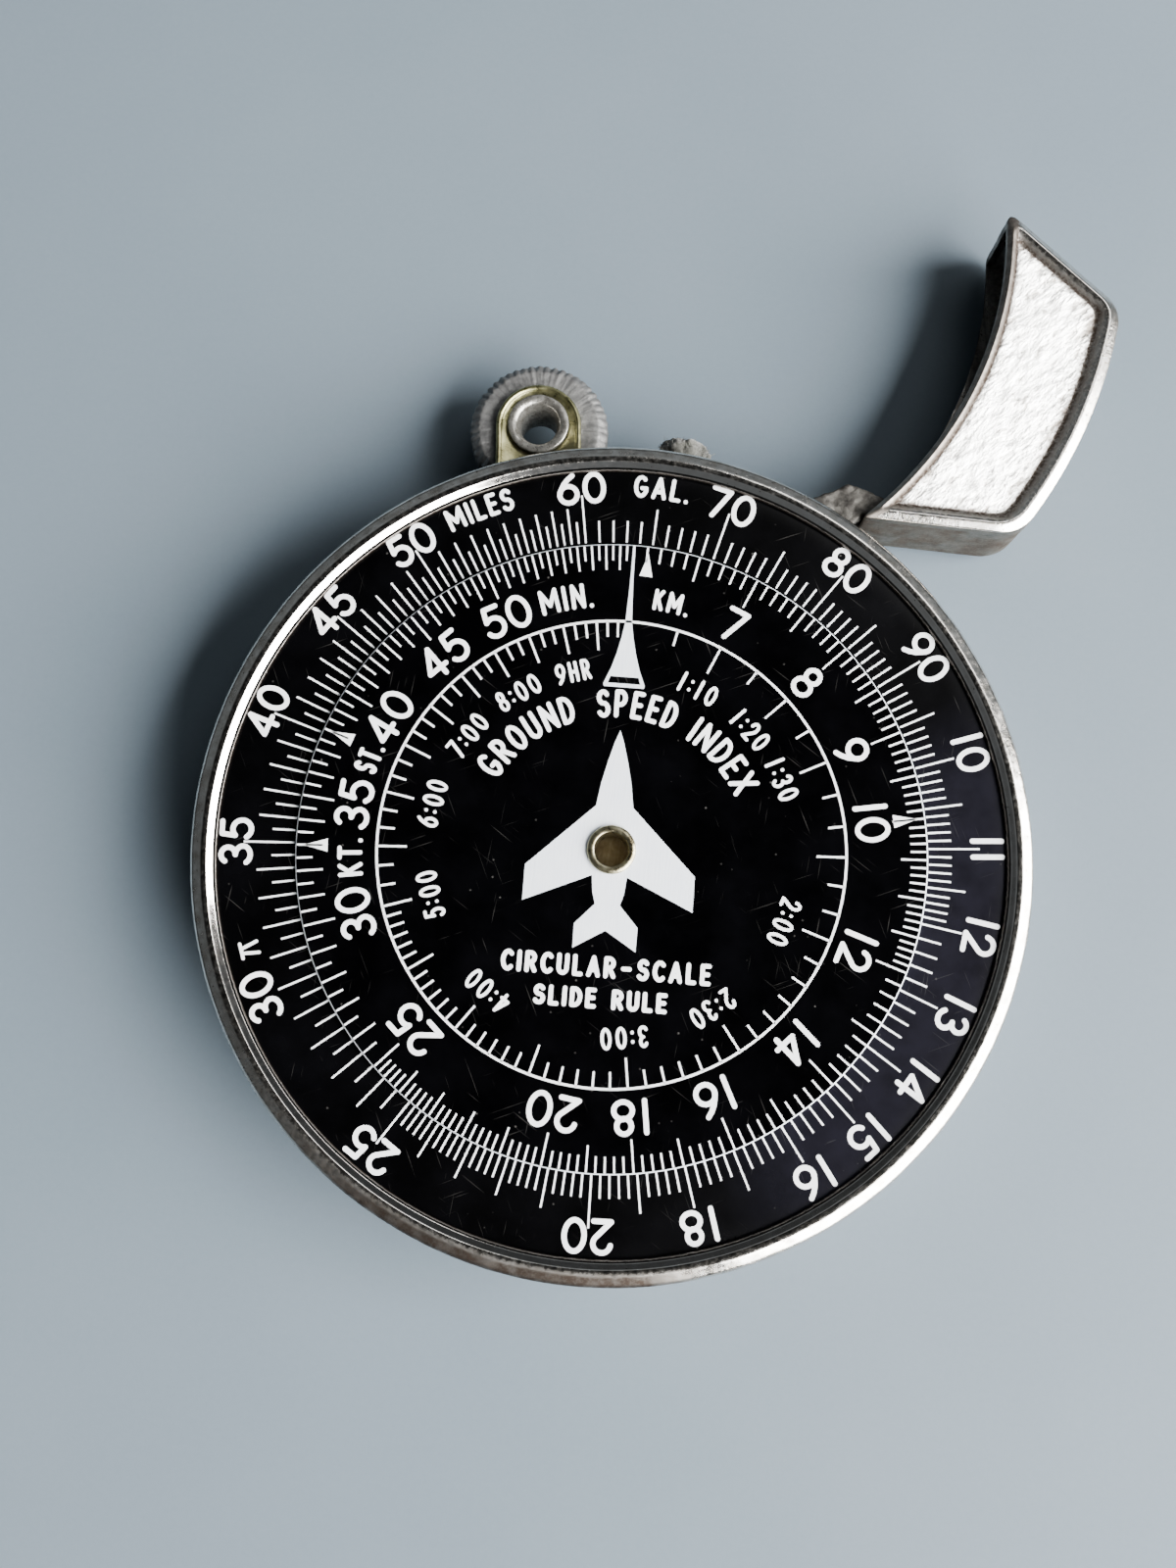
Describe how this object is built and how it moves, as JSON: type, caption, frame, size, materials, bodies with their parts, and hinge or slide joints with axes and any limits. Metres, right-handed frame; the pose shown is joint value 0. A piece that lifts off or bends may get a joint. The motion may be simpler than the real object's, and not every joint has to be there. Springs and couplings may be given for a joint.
{
  "type": "pocket lighter with a circular slide rule dial",
  "caption": "Round flat pocket petrol lighter whose front is a turning circular slide rule; flint wheel, wick and swing-open snuffer cap at the top edge.",
  "frame": {"origin": "centre of the flat rear cover, on the face the lighter rests on", "axes": "+Z out of the dial, +Y towards the twelve o'clock side where the cap shuts, +X to the right seen from the front"},
  "size_m": [0.0583, 0.0673, 0.0071],
  "materials": {
    "nickel": "worn nickel plate, polished edges, fine pitting",
    "black_anodised": "gloss black anodised aluminium with bare metal marks",
    "brass": "aged brass",
    "steel": "plain steel, lightly tarnished",
    "wheel_steel": "dull hardened steel, cut with fine teeth",
    "flint": "dark ferrocerium rod",
    "wick_cotton": "sooty cotton wick",
    "cotton": "cotton wadding",
    "gasket": "black rubber washer"
  },
  "bodies": {
    "case": {"case_body": "nickel", "rear_cover": "nickel", "front_bezel": "nickel", "scale_plate": "black_anodised", "dial_eyelet": "brass", "eyelet_washer": "steel", "burner_deck": "brass", "bracket_front": "brass", "bracket_rear": "brass", "wheel_rivet": "steel", "flint_tube": "brass", "flint": "flint", "wick_tube": "brass", "wick": "wick_cotton", "wadding": "cotton", "filler_bush": "brass", "hinge_pin": "steel", "cap_spring": "steel", "spring_screw": "steel"},
    "dial": {"inner_disc": "black_anodised"},
    "wheel": {"flint_wheel": "wheel_steel"},
    "cap": {"cap_shell": "nickel", "cap_arm": "wheel_steel"},
    "flint_carrier": {"flint_spring": "steel", "flint_follower": "brass"},
    "flint_plug": {"flint_screw": "nickel"},
    "filler_seal": {"filler_gasket": "gasket"},
    "filler_plug": {"filler_screw": "nickel"}
  },
  "joints": [
    {"name": "dial_spin", "type": "hinge", "parent": "case", "child": "dial", "pos_m": [0, 0, 0.0065], "axis": [0, 0, 1], "continuous": true},
    {"name": "wheel_spin", "type": "hinge", "parent": "case", "child": "wheel", "pos_m": [-0.0046, 0.0275, 0.00325], "axis": [0, 0, 1], "continuous": true},
    {"name": "cap_close", "type": "hinge", "parent": "case", "child": "cap", "pos_m": [0.01305, 0.0207, 0.00325], "axis": [0, 0, 1], "range_deg": [0, 115.5]},
    {"name": "flint_out", "type": "slide", "parent": "case", "child": "flint_carrier", "axis": [0, -1, 0], "range_m": [0, 0.005]},
    {"name": "flint_turn", "type": "hinge", "parent": "flint_carrier", "child": "flint_plug", "pos_m": [-0.0046, -0.024, 0.00325], "axis": [0, -1, 0], "range_deg": [0, 3600]},
    {"name": "filler_out", "type": "slide", "parent": "case", "child": "filler_seal", "axis": [0.4226, -0.9063, 0], "range_m": [0, 0.004]},
    {"name": "filler_turn", "type": "hinge", "parent": "filler_seal", "child": "filler_plug", "pos_m": [0.01014, -0.02175, 0.00325], "axis": [0.4226, -0.9063, 0], "range_deg": [0, 2880]}
  ],
  "couplings": [
    {"joint": "flint_turn", "follows": "flint_out", "rad_per_m": 12566},
    {"joint": "filler_turn", "follows": "filler_out", "rad_per_m": 12566}
  ]
}
